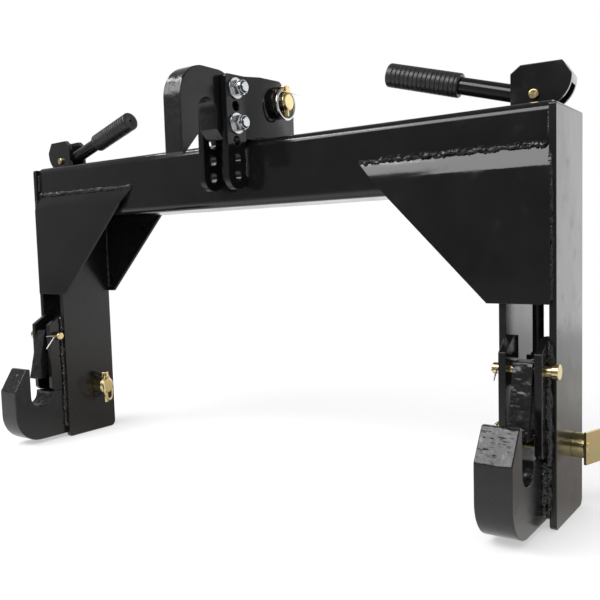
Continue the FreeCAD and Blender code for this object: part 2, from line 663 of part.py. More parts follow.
# Top link pin with its linch pin and ring
top_face = boss_face + boss_len
top_pin = tapered_end(upper_pin_d, top_face + pin_tail, -top_face, pin_taper, top_pin_y, top_pin_z)
top_pin = top_pin.fuse(rod_x(pin_head_d, -top_face - pin_head_t, -top_face, top_pin_y, top_pin_z))
linch_x = top_face + pin_tail - linch_setback
top_pin = top_pin.cut(rod_z(linch_d + 2 * pin_play, top_pin_z - upper_pin_d, top_pin_z + upper_pin_d,
                            linch_x, top_pin_y))
save("top_link_pin", top_pin)
save("top_linch_pin", linch_pin(upper_pin_d, linch_d, linch_tail, linch_x, top_pin_y, top_pin_z))
save("top_linch_ring", linch_ring(upper_pin_d, ring_r, 0, linch_x, top_pin_y, top_pin_z))
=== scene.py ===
import json
import math

import bmesh
import bpy
import numpy as np
from mathutils import Matrix, Vector
from mathutils.geometry import tessellate_polygon

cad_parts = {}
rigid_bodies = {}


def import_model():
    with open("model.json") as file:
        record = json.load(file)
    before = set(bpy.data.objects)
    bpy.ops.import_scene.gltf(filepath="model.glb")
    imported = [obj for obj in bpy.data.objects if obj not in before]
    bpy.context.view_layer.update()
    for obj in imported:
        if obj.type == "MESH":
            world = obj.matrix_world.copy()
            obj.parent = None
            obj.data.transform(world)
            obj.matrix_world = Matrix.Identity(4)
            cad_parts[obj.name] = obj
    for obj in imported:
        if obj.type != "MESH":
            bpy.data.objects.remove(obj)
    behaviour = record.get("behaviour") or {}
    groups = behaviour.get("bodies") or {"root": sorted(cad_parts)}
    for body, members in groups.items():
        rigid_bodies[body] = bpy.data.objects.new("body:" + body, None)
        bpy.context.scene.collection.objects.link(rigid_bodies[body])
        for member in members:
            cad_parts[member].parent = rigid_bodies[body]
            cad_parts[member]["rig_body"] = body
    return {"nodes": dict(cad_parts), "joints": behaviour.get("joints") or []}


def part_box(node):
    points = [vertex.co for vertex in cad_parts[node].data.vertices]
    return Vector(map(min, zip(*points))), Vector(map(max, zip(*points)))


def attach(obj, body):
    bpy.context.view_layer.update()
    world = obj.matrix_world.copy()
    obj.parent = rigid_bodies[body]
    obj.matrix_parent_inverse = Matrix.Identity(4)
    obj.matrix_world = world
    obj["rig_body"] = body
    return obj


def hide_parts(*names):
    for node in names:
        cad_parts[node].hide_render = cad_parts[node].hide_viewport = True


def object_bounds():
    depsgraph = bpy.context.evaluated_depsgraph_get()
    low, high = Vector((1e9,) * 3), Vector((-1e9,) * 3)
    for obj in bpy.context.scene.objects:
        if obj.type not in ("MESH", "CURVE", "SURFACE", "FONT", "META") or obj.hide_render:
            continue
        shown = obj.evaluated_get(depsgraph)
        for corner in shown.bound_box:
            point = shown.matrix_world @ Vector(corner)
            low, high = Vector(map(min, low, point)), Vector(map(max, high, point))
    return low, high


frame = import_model()
cad_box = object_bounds()


# Cross beam: a length of square structural tube between the two legs, with soft rolled corners.
# It is sprayed with gloss black enamel after welding, so the coat is thin and flows with the mill surface.

def add(tree, kind, **given):
    """One shader node. What is given goes to its settings or to the inputs of that name."""
    made = tree.nodes.new("ShaderNode" + kind)
    for key, value in given.items():
        name = key.replace("_", " ")
        if name in made.inputs:
            socket = made.inputs[name]
            if isinstance(value, bpy.types.NodeSocket):
                tree.links.new(value, socket)
            else:
                socket.default_value = value
        else:
            setattr(made, key, value)
    return made


def noise(tree, where, size, detail=2.0):
    """Noise whose lumps are about `size` metres across."""
    return add(tree, "TexNoise", Vector=where, Scale=1.0 / size, Detail=detail).outputs["Fac"]


def spread(tree, value, low, high, start=0.35, stop=0.65):
    """The value from start to stop carried over to low to high."""
    return add(tree, "MapRange", Value=value, From_Min=start, From_Max=stop,
               To_Min=low, To_Max=high).outputs["Result"]


def raised(tree, height, depth, below=None):
    """Normal bent by a height of up to `depth` metres, on top of the one below."""
    bump = add(tree, "Bump", Height=height, Distance=depth, Strength=1.0)
    if below is not None:
        tree.links.new(below, bump.inputs["Normal"])
    return bump.outputs["Normal"]


def finish_of(name):
    """Empty material with its shader, its node tree and the place on the object."""
    material = bpy.data.materials.new(name)
    material.use_nodes = True
    tree = material.node_tree
    tree.nodes.clear()
    shader = add(tree, "BsdfPrincipled")
    tree.links.new(shader.outputs["BSDF"], add(tree, "OutputMaterial").inputs["Surface"])
    return material, tree, shader, add(tree, "TexCoord").outputs["Object"]


def enamel(name, thin, thick, peel, wave, gloss, scuffed, drawn=0):
    """Gloss black enamel: two near blacks by thickness, orange peel of depth `peel`, slow waves of depth
    `wave` in the steel below it, roughness within `gloss`, and up to `scuffed` more where hands and crates
    have rubbed it. A tube drawn along X has faint lines of depth `drawn` besides."""
    material, tree, shader, where = finish_of(name)
    slow = noise(tree, where, size=0.060, detail=3.0)
    coat = add(tree, "Mix", data_type="RGBA")
    coat.inputs["A"].default_value = (*thin, 1)
    coat.inputs["B"].default_value = (*thick, 1)
    tree.links.new(slow, coat.inputs["Factor"])
    tree.links.new(coat.outputs["Result"], shader.inputs["Base Color"])
    patches = noise(tree, where, size=0.018, detail=6.0)
    rubbed = spread(tree, patches, 0.0, scuffed, start=0.55, stop=0.75)
    sheen = add(tree, "Math", operation="ADD")
    tree.links.new(spread(tree, slow, *gloss), sheen.inputs[0])
    tree.links.new(rubbed, sheen.inputs[1])
    tree.links.new(sheen.outputs["Value"], shader.inputs["Roughness"])
    low = raised(tree, slow, wave)
    if drawn:
        lines = add(tree, "Mapping", Vector=where, Scale=(0.02, 1, 1)).outputs["Vector"]
        low = raised(tree, noise(tree, lines, size=0.009), drawn, low)
    fine = noise(tree, where, size=0.0016, detail=1.0)
    tree.links.new(raised(tree, fine, peel, low), shader.inputs["Normal"])
    shader.inputs["IOR"].default_value = 1.5
    return material


def dressed(node, material, edge):
    """The piece as the shop finishes it: facet corners merged, flat facets joined into whole faces,
    and every sharp edge rounded to the radius `edge`."""
    one_place = 2e-6                                       # facet corners this close are one
    flat_within = math.radians(0.2)
    sharp_above = math.radians(32)
    source = frame["nodes"][node]
    mesh = source.data.copy()
    shape = bmesh.new()
    shape.from_mesh(mesh)
    bmesh.ops.remove_doubles(shape, verts=shape.verts, dist=one_place)
    bmesh.ops.dissolve_limit(shape, angle_limit=flat_within, verts=shape.verts, edges=shape.edges)
    shape.to_mesh(mesh)
    shape.free()
    for old in [a.name for a in mesh.attributes if a.name == "custom_normal"]:
        mesh.attributes.remove(mesh.attributes[old])
    mesh.polygons.foreach_set("use_smooth", np.ones(len(mesh.polygons), bool))
    mesh.materials.clear()
    mesh.materials.append(material)
    piece = bpy.data.objects.new(node + ".finished", mesh)
    bpy.context.scene.collection.objects.link(piece)
    if edge > 0:
        rounding = piece.modifiers.new("rounded edges", "BEVEL")
        rounding.width = edge
        rounding.segments = 3
        rounding.limit_method = "ANGLE"
        rounding.angle_limit = sharp_above
        rounding.use_clamp_overlap = False
    flats = piece.modifiers.new("flat faces", "WEIGHTED_NORMAL")
    flats.keep_sharp = True
    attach(piece, source["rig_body"])
    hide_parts(node)
    return piece


beam_enamel = enamel("enamel_on_drawn_tube", thin=(0.0036, 0.0036, 0.0039), thick=(0.0070, 0.0070, 0.0076),
                     peel=0.000022, wave=0.00045, gloss=(0.09, 0.17), scuffed=0.10, drawn=0.00016)
dressed("cross_beam", beam_enamel, edge=0.0004)


# Legs: two flame cut steel plates each, the outer one closing the end of the beam. Between them goes the
# ball of a tractor's lower link. Their edges are dressed with a grinder before they are welded and painted,
# which leaves them slightly rounded.

sides = {"right": 1, "left": -1}                           # each with the sign of its outward x
plate_enamel = enamel("enamel_on_rolled_plate", thin=(0.0036, 0.0036, 0.0038), thick=(0.0070, 0.0070, 0.0073),
                      peel=0.000030, wave=0.00035, gloss=(0.18, 0.26), scuffed=0.08)
for side in sides:
    dressed("leg_outer_plate_" + side, plate_enamel, edge=0.0008)
    dressed("leg_inner_plate_" + side, plate_enamel, edge=0.0008)


# Corner gussets: sheet bent back to the beam along its top, one in front of each leg and one behind.
# Sheared from 4.5 mm steel sheet, so their edges are crisper than the plates', and welded along the top and
# down the outer edge.

frame_enamel = enamel("gloss_black_enamel", thin=(0.0036, 0.0036, 0.0039), thick=(0.0070, 0.0070, 0.0076),
                      peel=0.000022, wave=0.00045, gloss=(0.09, 0.17), scuffed=0.12)
for side in sides:
    dressed("front_gusset_" + side, frame_enamel, edge=0.0005)
    dressed("rear_gusset_" + side, frame_enamel, edge=0.0005)


# Welds of the frame: steel beads laid by hand where gussets, leg plates and beam meet, painted over with
# the rest. Each is a row of frozen ripples whose width wanders, with a rounded start and stop.

def lumps(a, b, seed):
    """Smooth random heights from -1 to 1: a lattice of seeded values at whole a and b, blended between."""
    table = np.random.default_rng(seed).uniform(-1, 1, (64, 64))
    a, b = np.broadcast_arrays(np.asarray(a, float), np.asarray(b, float))
    ia, ib = np.floor(a).astype(int), np.floor(b).astype(int)
    fa, fb = a - ia, b - ib
    fa, fb = fa * fa * (3 - 2 * fa), fb * fb * (3 - 2 * fb)
    near = table[ia % 64, ib % 64] * (1 - fb) + table[ia % 64, (ib + 1) % 64] * fb
    far = table[(ia + 1) % 64, ib % 64] * (1 - fb) + table[(ia + 1) % 64, (ib + 1) % 64] * fb
    return near * (1 - fa) + far * fa


def even_steps(points, step):
    """The polyline through the points, sampled again about every `step` metres along its length."""
    points = np.asarray(points, float)
    run = np.concatenate([[0], np.cumsum(np.linalg.norm(np.diff(points, axis=0), axis=1))])
    at = np.linspace(0, run[-1], max(8, int(run[-1] / step)))
    return np.stack([np.interp(at, run, points[:, k]) for k in range(3)], 1), at


def sleeve(rings):
    """Points and faces of rings (n, m, 3), joined one to the next and closed by a fan at each end.
    Each ring turns right handed about the way the rings advance, which points the faces outwards."""
    n, m = rings.shape[:2]
    points = np.concatenate([rings.reshape(-1, 3), rings[:1].mean(1), rings[-1:].mean(1)])
    j = np.arange(m)
    k = (j + 1) % m
    i = np.arange(n - 1)[:, None] * m
    walls = np.stack([i + j, i + k, i + m + k, i + m + j], -1).reshape(-1, 4)
    first = np.stack([np.full(m, n * m), k, j], -1)
    last = np.stack([np.full(m, n * m + 1), (n - 1) * m + j, (n - 1) * m + k], -1)
    return points, [walls, first, last]


def skin(name, parts, material, body):
    """One object from the points and faces of several parts, smooth all over."""
    points = np.concatenate([p for p, _ in parts])
    starts = np.cumsum([0] + [len(p) for p, _ in parts[:-1]])
    faces = [f + start for (_, group), start in zip(parts, starts) for f in group]
    corners = np.concatenate([f.ravel() for f in faces]).astype(np.int32)
    counts = np.concatenate([np.full(len(f), f.shape[1]) for f in faces])
    mesh = bpy.data.meshes.new(name)
    mesh.vertices.add(len(points))
    mesh.vertices.foreach_set("co", points.astype(np.float32).ravel())
    mesh.loops.add(len(corners))
    mesh.loops.foreach_set("vertex_index", corners)
    mesh.polygons.add(len(counts))
    mesh.polygons.foreach_set("loop_start", (np.cumsum(counts) - counts).astype(np.int32))
    mesh.update(calc_edges=True)
    mesh.validate()
    mesh.polygons.foreach_set("use_smooth", np.ones(len(mesh.polygons), bool))
    mesh.materials.append(material)
    piece = bpy.data.objects.new(name, mesh)
    bpy.context.scene.collection.objects.link(piece)
    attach(piece, body)
    return piece


def bead(points, out, r, seed, lumpy=0.16):
    """Weld bead of radius r along the points, `out` being the way that it stands proud of its corner.
    Its section is a circle; along the length s its radius is r times 1, plus 0.13 of a rectified sine
    whose ripples bow forward in the middle, plus random lumps of three sizes, whose height is `lumpy` times
    r for the largest; its line wavers; and both ends round off."""
    line, s = even_steps(points, step=0.0005)
    tangent = np.gradient(line, axis=0)
    tangent /= np.linalg.norm(tangent, axis=1, keepdims=True)
    out = np.asarray(out, float)[None, :]
    out = out - tangent * (out * tangent).sum(1, keepdims=True)
    out /= np.linalg.norm(out, axis=1, keepdims=True)
    across = np.cross(tangent, out)
    turn = np.linspace(0, 2 * np.pi, 16, endpoint=False)[None, :]
    along = s[:, None]
    bowed = 0.55 * np.cos(turn)
    ripple = np.abs(np.sin(np.pi * (along / (0.62 * r) - bowed) / 1.6))
    size = 1 + 0.13 * ripple + lumpy * lumps(along / (1.6 * r), 1.4 * np.cos(turn) + 7, seed)
    size = size + 0.5 * lumpy * lumps(along / (0.7 * r), 2.2 * np.sin(turn) + 21, seed + 1)
    size = size + 0.4 * lumpy * lumps(along / (0.36 * r), 3.6 * np.cos(turn) + 40, seed + 5)
    ends = np.minimum(along, s[-1] - along)
    radius = r * size * np.sqrt(np.clip(1 - (1 - np.clip(ends / r, 0, 1)) ** 2, 0.0004, 1))
    waver = 0.18 * r * lumps(s / (3.5 * r), 3.0, seed + 2)
    centre = (line + across * waver[:, None])[:, None, :]
    rings = centre + radius[..., None] * (np.cos(turn)[..., None] * out[:, None, :]
                                          + np.sin(turn)[..., None] * across[:, None, :])
    return sleeve(rings)


weld_enamel = enamel("enamel_over_weld", thin=(0.0036, 0.0036, 0.0039), thick=(0.0070, 0.0070, 0.0076),
                     peel=0.00012, wave=0.0002, gloss=(0.05, 0.10), scuffed=0.05)
crest_bead, side_bead, corner_bead = 0.0028, 0.0024, 0.0030    # radii
corner = 0.012                                             # radius of the tube's own corner
beam_low, beam_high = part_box("cross_beam")
for side, way in sides.items():
    out_low, out_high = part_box("leg_outer_plate_" + side)
    in_low, in_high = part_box("leg_inner_plate_" + side)
    web_low, web_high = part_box("front_gusset_" + side)
    shut = out_low.x if way > 0 else out_high.x            # beam end, against the outer plate
    inner = in_low.x if way > 0 else in_high.x             # face of the inner plate towards the middle
    lap = web_high.x if way > 0 else web_low.x             # outer edge of the gussets
    reach = web_low.x if way > 0 else web_high.x           # their inner tip
    foot, crest = web_low.z, web_high.z
    laid = []
    for rear, (plate_y, beam_y) in enumerate(((out_low.y, beam_low.y), (out_high.y, beam_high.y))):
        back = 1 if rear else -1
        seed = 100 * rear + (10 if way > 0 else 50)
        laid.append(bead([(reach + way * 0.001, beam_y, crest + 0.001),
                          (shut - way * 0.002, beam_y, crest + 0.001)],
                         (0, back, 0.7), crest_bead, seed, lumpy=0.70))
        laid.append(bead([(lap, plate_y, foot + 0.004), (lap, plate_y, crest - 0.017),
                          (lap, beam_y, crest + 0.004)],
                         (way, back, 0), side_bead, seed + 3, lumpy=0.36))
        laid.append(bead([(inner, plate_y, foot + 0.006), (inner, plate_y, beam_low.z - 0.004)],
                         (-way, -back, 0), corner_bead, seed + 5))
        laid.append(bead([(shut, beam_y, crest + 0.006), (shut, beam_y, beam_high.z - corner)],
                         (-way, back, 0), corner_bead, seed + 7))
    laid.append(bead([(inner, beam_low.y + corner, beam_low.z), (inner, beam_high.y - corner, beam_low.z)],
                     (-way, 0, -1), corner_bead, seed=31))
    skin("gusset_welds_" + side, laid, weld_enamel, "frame")


# Lower hooks: J shaped hooks flame cut from thick steel plate and welded in between the leg plates. Two
# cheeks on each carry its latch. The torch leaves drag lines across the cut and pits on the sloping tip, and
# the flat faces are as rolled.

hook_enamel = enamel("enamel_on_flame_cut_steel", thin=(0.0048, 0.0048, 0.0054),
                     thick=(0.0090, 0.0090, 0.0099), peel=0.000045, wave=0.0004, gloss=(0.17, 0.27),
                     scuffed=0.12)


def outlines(node):
    """Closed outlines of the plate's face at its largest x, as rows of (y, z) with the steel on their left.
    Facet corners that coincide are made one; an outline edge is one that no neighbour runs the other way;
    and each edge's successor, composed with itself again and again, gives the whole round."""
    one_place = 2e-6                                       # corners this close to the face are on it
    mesh = frame["nodes"][node].data
    mesh.calc_loop_triangles()
    co = np.empty(len(mesh.vertices) * 3, np.float32)
    mesh.vertices.foreach_get("co", co)
    tri = np.empty(len(mesh.loop_triangles) * 3, np.int32)
    mesh.loop_triangles.foreach_get("vertices", tri)
    points, same = np.unique(np.round(co.reshape(-1, 3).astype(float), 6), axis=0, return_inverse=True)
    tri = same.reshape(-1)[tri].reshape(-1, 3)
    on_face = np.abs(points[tri, 0] - points[:, 0].max()) < one_place
    cap = tri[on_face.all(1)]
    start, end = cap.ravel(), np.roll(cap, -1, 1).ravel()
    n = len(points)
    rim = ~np.isin(start * n + end, end * n + start)
    after = np.arange(n)
    after[start[rim]] = end[rim]
    left, rounds = set(start[rim].tolist()), []
    while left:
        first = min(left)
        walk, leap = np.array([first]), after.copy()
        while len(walk) < len(after) and not (walk[1:] == first).any():
            walk = np.concatenate([walk, leap[walk]])
            leap = leap[leap]
        stop = np.flatnonzero(walk[1:] == first)[0] + 1
        left -= set(walk[:stop].tolist())
        rounds.append(points[walk[:stop], 1:])
    return sorted(rounds, key=len, reverse=True)


def flame_cut(node, material, rounding, relief, seed):
    """Thick plate with flame cut edges. Round each outline goes a band of points P(s) + N(s) h(s, x), N being
    the outline's outward normal and h the torch's marks: drag lines that trail as the cut gets deeper, and
    pits, with `relief` telling how strong they are along the outline. The band is sunk by the height of the
    weakest marks, so only the rougher stretches stand proud of the outline, by less than a millimetre. At
    both faces it turns in over a quarter circle of radius `rounding`, and the faces are filled in. Last, all
    of them are turned outwards."""
    row, column = 0.0012, 0.0008                           # spacing of points across the cut and along it
    drag_pitch, drag_height, trail = 0.0021, 0.00007, 0.0024
    pit_height, sunk = 0.00028, 0.00048
    low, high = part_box(node)
    depth = high.x - low.x
    quarter = np.linspace(0, np.pi / 2, 5)
    turned = rounding * (1 - np.cos(quarter))
    drawn_in = rounding * (1 - np.sin(quarter))
    across = np.linspace(rounding, depth - rounding, max(6, int(depth / row)))[1:-1]
    x = np.concatenate([turned, across, depth - turned[::-1]])
    inset = np.concatenate([drawn_in, 0 * across, drawn_in[::-1]])
    parts, caps, count = [], [], 0
    for loop in outlines(node):
        closed = np.concatenate([loop, loop[:1]])
        closed = np.column_stack([np.zeros(len(closed)), closed])
        line, s = even_steps(closed, column)
        line, s = line[:-1, 1:], s[:-1]
        tangent = np.roll(line, -1, 0) - np.roll(line, 1, 0)
        tangent /= np.linalg.norm(tangent, axis=1, keepdims=True)
        normal = np.column_stack([tangent[:, 1], -tangent[:, 0]])
        lag = trail * (x[:, None] / depth) ** 2
        wear = relief(normal, line)[None, :]
        unsteady = lumps(s / 0.011, 5.0, seed)[None, :] * 2
        drag = np.abs(np.sin(np.pi * (s[None, :] + lag) / drag_pitch + unsteady))
        pits = lumps(s[None, :] / 0.0062, x[:, None] / 0.0066 + 9, seed + 1)
        pits = pits + 0.45 * lumps(s[None, :] / 0.0024, x[:, None] / 0.0028 + 30, seed + 2)
        off_faces = np.clip(np.sin(np.pi * x / depth) * 6, 0, 1)[:, None]
        h = (wear * (drag_height * drag + pit_height * pits) - sunk * wear.min()) * off_faces
        place = line[None] + normal[None] * (h - inset[:, None])[..., None]
        ring_x = np.broadcast_to((low.x + x)[:, None, None], place.shape[:2] + (1,))
        rings = np.concatenate([ring_x, place], 2)
        m = len(line)
        j = np.arange(m)
        i = np.arange(len(x) - 1)[:, None] * m + count
        walls = np.stack([i + j, i + (j + 1) % m, i + m + (j + 1) % m, i + m + j], -1).reshape(-1, 4)
        parts.append((rings.reshape(-1, 3), [walls - count]))
        caps.append((place[0], place[-1], count, count + (len(x) - 1) * m))
        count += len(x) * m
    fill = []
    for face, flip in ((0, True), (1, False)):
        number = np.concatenate([np.arange(len(cap[face])) + cap[2 + face] for cap in caps])
        tri = np.array(tessellate_polygon([[Vector((0, *p)) for p in cap[face]] for cap in caps]))
        flat = np.concatenate([cap[face] for cap in caps])
        a, b, c = (flat[tri[:, k]] for k in range(3))
        left = (b[:, 0] - a[:, 0]) * (c[:, 1] - a[:, 1]) - (b[:, 1] - a[:, 1]) * (c[:, 0] - a[:, 0]) > 0
        tri = np.where((left == flip)[:, None], tri[:, ::-1], tri)
        fill.append(number[tri])
    parts.append((np.empty((0, 3)), [f - count for f in fill]))
    piece = skin(node + ".cut", parts, material, frame["nodes"][node]["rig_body"])
    shape = bmesh.new()
    shape.from_mesh(piece.data)
    bmesh.ops.recalc_face_normals(shape, faces=shape.faces)
    if shape.calc_volume(signed=True) < 0:
        bmesh.ops.reverse_faces(shape, faces=shape.faces)
    shape.to_mesh(piece.data)
    shape.free()
    flats = piece.modifiers.new("flat faces", "WEIGHTED_NORMAL")
    flats.keep_sharp = True
    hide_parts(node)
    return piece


def tip_pitted(normal, place):
    """Marks are deepest on the sloping tip, where the cut ended, shallow on the ground front and toe."""
    tip = (normal[:, 0] < -0.5) & (normal[:, 1] > 0.25)
    ground = (normal[:, 0] < -0.2) & (normal[:, 1] < 0.2) & (place[:, 0] < 0)
    return np.where(tip, 1.7, np.where(ground, 0.15, 0.6))


for side, way in sides.items():
    flame_cut("lower_hook_" + side, hook_enamel, rounding=0.0014, relief=tip_pitted,
              seed=210 + way)
    dressed("latch_cheek_outer_" + side, frame_enamel, edge=0.0007)
    dressed("latch_cheek_inner_" + side, frame_enamel, edge=0.0007)


# Welds of the hooks, laid by hand where hook and cheeks come out from between the leg plates. On the inner
# side a heavy fillet runs from the top of the cheek to the foot of the hook. On the outer side a fillet and a
# second pass run down beside the cheek, and below it two beads fill the gap between hook and plate.

fillet, pass_two = 0.0042, 0.0032                          # radii
for side, way in sides.items():
    hook_low, hook_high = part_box("lower_hook_" + side)
    cheek_low, cheek_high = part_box("latch_cheek_outer_" + side)
    out_low, out_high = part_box("leg_outer_plate_" + side)
    hook_in, hook_out = (hook_low.x, hook_high.x) if way > 0 else (hook_high.x, hook_low.x)
    plate = out_low.x if way > 0 else out_high.x
    foot, seat, top = hook_low.z + 0.006, cheek_low.z, cheek_high.z - 0.002
    y = out_low.y
    by_plate = plate - way * 0.0014                        # the beads that fill the gap
    by_hook = hook_out + way * 0.0010
    laid = [bead([(hook_in, y, foot + 0.006), (hook_in, y, top)],
                 (-way, -1, 0), fillet, 300 + way, lumpy=0.34),
            bead([(plate, y, seat - 0.004), (plate, y, top)],
                 (way, -1, 0), fillet, 310 + way, lumpy=0.40),
            bead([(plate + way * 0.0006, y - 0.0072, seat - 0.002),
                  (plate + way * 0.0004, y - 0.0066, top - 0.030)],
                 (way, 0, 0), pass_two, 315 + way, lumpy=0.46),
            bead([(by_plate, y + 0.001, foot), (by_plate, y + 0.001, seat + 0.003)],
                 (0, -1, 0), fillet, 320 + way, lumpy=0.42),
            bead([(by_hook, y - 0.001, foot + 0.002), (by_hook, y - 0.001, seat - 0.006)],
                 (0, -1, 0), fillet, 325 + way, lumpy=0.42)]
    skin("hook_welds_" + side, laid, weld_enamel, "frame")


# Latches: bars flame cut from 22 mm steel plate, each turning on a pin between the cheeks to close its
# hook's mouth. They are painted loose, so the torch marks on their front edge stay sharp under the coat.

def front_marked(normal, place):
    """Marks are deep on the edge that leans to the front and shallow elsewhere."""
    return np.where(normal[:, 0] < -0.6, 2.0, 0.6)


for side, way in sides.items():
    flame_cut("latch_" + side, hook_enamel, rounding=0.0009, relief=front_marked,
              seed=410 + way)


# Latch pins and lower link pins, with the linch pins and spring rings that hold the link pins: steel,
# yellow zinc plated, the pins turned and the rings bent from wire. The colour of the chromate film drifts
# from straw to green and rose.

def plated(name, straw, green, rose, rough):
    """Zinc plate: metal whose colour drifts between three film tones, with a fine grain that takes its
    roughness up to about a third away from `rough` and bends its normal a little."""
    material, tree, shader, where = finish_of(name)
    shader.inputs["Metallic"].default_value = 1.0
    ramp = add(tree, "ValToRGB", Fac=noise(tree, where, size=0.016))
    ramp.color_ramp.elements[0].position = 0.36
    ramp.color_ramp.elements[0].color = (*green, 1)
    ramp.color_ramp.elements[1].position = 0.66
    ramp.color_ramp.elements[1].color = (*rose, 1)
    middle = ramp.color_ramp.elements.new(0.5)
    middle.color = (*straw, 1)
    tree.links.new(ramp.outputs["Color"], shader.inputs["Base Color"])
    fine = noise(tree, where, size=0.0022, detail=4.0)
    tree.links.new(spread(tree, fine, rough * 0.75, rough * 1.35), shader.inputs["Roughness"])
    tree.links.new(raised(tree, fine, 0.000010), shader.inputs["Normal"])
    return material


yellow_zinc = plated("yellow_zinc", straw=(0.80, 0.64, 0.32), green=(0.72, 0.66, 0.36),
                     rose=(0.82, 0.60, 0.34), rough=0.20)
for side in sides:
    dressed("latch_pin_" + side, yellow_zinc, edge=0.0006)
    dressed("lower_link_pin_" + side, yellow_zinc, edge=0.0006)
    dressed("lower_linch_pin_" + side, yellow_zinc, edge=0.0008)
    dressed("lower_linch_ring_" + side, yellow_zinc, edge=0)


# Cotters: split pins bent from steel wire and bright zinc plated, pushed through the latch pins from behind
# and spread in front. Each is made of two strands that meet at the back of the eye. The left one has the
# longer lower leg.

bright_zinc = plated("bright_zinc", straw=(0.72, 0.73, 0.75), green=(0.64, 0.66, 0.69),
                     rose=(0.78, 0.78, 0.79), rough=0.22)
latch_pin_r = 0.00635
strand_r, strand_shift, eye_r = 0.0009, 0.0007, 0.0011
spread_ahead = 0.0014                                      # where the legs part, ahead of the pin
eye_inset = 0.0016                                         # middle of the eye from the cotter's rear end
eye_neck = 0.0016                                          # where the strands run into the eye
upper_leg, lower_leg = 0.0160, {"right": 0.0145, "left": 0.0255}
upper_bend, lower_bend = math.radians(3.0), math.radians(-48.0)
for side in sides:
    low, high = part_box("latch_cotter_" + side)
    pin_low, pin_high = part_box("latch_pin_" + side)
    x, z = (low.x + high.x) / 2, (pin_low.z + pin_high.z) / 2
    front = (pin_low.y + pin_high.y) / 2 - latch_pin_r - spread_ahead
    eye = high.y - eye_inset
    swing = np.linspace(-0.8 * np.pi, 0.8 * np.pi, 24)
    rounds = np.column_stack([eye + eye_r * np.cos(swing), z + eye_r * np.sin(swing)])
    parts = []
    for bend, length, shift, half in ((upper_bend, upper_leg, strand_shift, rounds[12:]),
                                      (lower_bend, lower_leg[side], -strand_shift, rounds[11::-1])):
        tip = (front - length * math.cos(bend), z + shift + length * math.sin(bend))
        route = np.concatenate([[tip], [(front, z + shift)], [(eye - eye_neck, z + shift)], half[::-1]])
        route = np.column_stack([np.full(len(route), x), route])
        line, s = even_steps(route, step=0.0004)
        tangent = np.gradient(line, axis=0)
        tangent /= np.linalg.norm(tangent, axis=1, keepdims=True)
        flat = np.array([1.0, 0, 0])
        up = np.cross(tangent, flat)
        turn = np.linspace(0, 2 * np.pi, 12, endpoint=False)[None, :, None]
        taper = np.sqrt(np.clip(np.minimum(s, s[-1] - s) / strand_r, 0.1, 1))[:, None, None]
        rings = line[:, None] + strand_r * taper * (np.cos(turn) * flat + np.sin(turn) * up[:, None])
        parts.append(sleeve(rings))
    piece = skin("latch_cotter_" + side + ".wire", parts, bright_zinc, "frame")
    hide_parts("latch_cotter_" + side)


# Lift rods, yokes and their pins: a round steel bar and a folded strap, welded together and painted black,
# that hang from each lever inside the leg. A plated pin joins each yoke to the arm of its latch.

bar_enamel = enamel("enamel_on_bar", thin=(0.0046, 0.0046, 0.0049), thick=(0.0085, 0.0085, 0.0090),
                    peel=0.000016, wave=0.0002, gloss=(0.09, 0.17), scuffed=0.20)
rod_r = 0.00635
for side, way in sides.items():
    dressed("lift_rod_" + side, bar_enamel, edge=0.0005)
    dressed("lift_yoke_" + side, bar_enamel, edge=0.0008)
    dressed("yoke_pin_" + side, bright_zinc, edge=0.0006)
    low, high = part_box("lift_rod_" + side)
    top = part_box("lift_yoke_" + side)[1].z
    turn = np.linspace(0, 2 * np.pi, 60)
    ring = np.column_stack([(low.x + high.x) / 2 + rod_r * np.cos(turn),
                            (low.y + high.y) / 2 + rod_r * np.sin(turn),
                            np.full(60, top)])
    weld = bead(ring, (0, 0, 1), r=0.0020, seed=520 + way)
    skin("yoke_weld_" + side, [weld], bar_enamel, "lift_" + side)


# Cam levers: a steel head with two cheeks whose rounded corner rolls on the beam, and a round bar welded
# between them. The head turns on a yellow zinc pin through the eye of the lift rod.

for side in sides:
    dressed("lever_head_" + side, frame_enamel, edge=0.0009)
    dressed("lever_bar_" + side, bar_enamel, edge=0.0008)
    dressed("lever_pin_" + side, yellow_zinc, edge=0.0012)


# Grips: sleeves of soft black vinyl, moulded with rings, two lengthwise parting lines and a vent hole in the
# end, and pushed over the lever bars.

vinyl, tree, shader, where = finish_of("black_vinyl")
dust = add(tree, "Mix", data_type="RGBA")
dust.inputs["A"].default_value = (0.010, 0.010, 0.010, 1)
dust.inputs["B"].default_value = (0.022, 0.022, 0.023, 1)
tree.links.new(noise(tree, where, size=0.012, detail=5.0), dust.inputs["Factor"])
tree.links.new(dust.outputs["Result"], shader.inputs["Base Color"])
patches = noise(tree, where, size=0.006, detail=4.0)
tree.links.new(spread(tree, patches, 0.26, 0.42), shader.inputs["Roughness"])
tree.links.new(raised(tree, noise(tree, where, size=0.0006), 0.00003), shader.inputs["Normal"])

grip_start, grip_end = 0.0904, 0.1834                      # from the lever's pivot
grip_r, bar_r, vent_r = 0.01425, 0.0100, 0.0025
grip_edge_r = 0.0020
rib_pitch, rib_depth, rib_gap = 0.0057, 0.0011, 0.0011
first_rib = 0.0048                                         # from the start of the grip
seam_turns = (2.2, 5.34)                                   # places round the grip, in radians
seam_width, seam_depth = 0.0006, 0.0005
mouth_depth, vent_depth = 0.0010, 0.006
vent_edge, vent_edge_depth = 0.0006, 0.0004
plain_start, plain_end = 0.003, 0.004                      # without rings, at the two ends
row, row_gap = 0.00035, 0.0003                             # spacing of points along the grip
bar_slope, bar_drop = math.radians(15.4), 0.0010
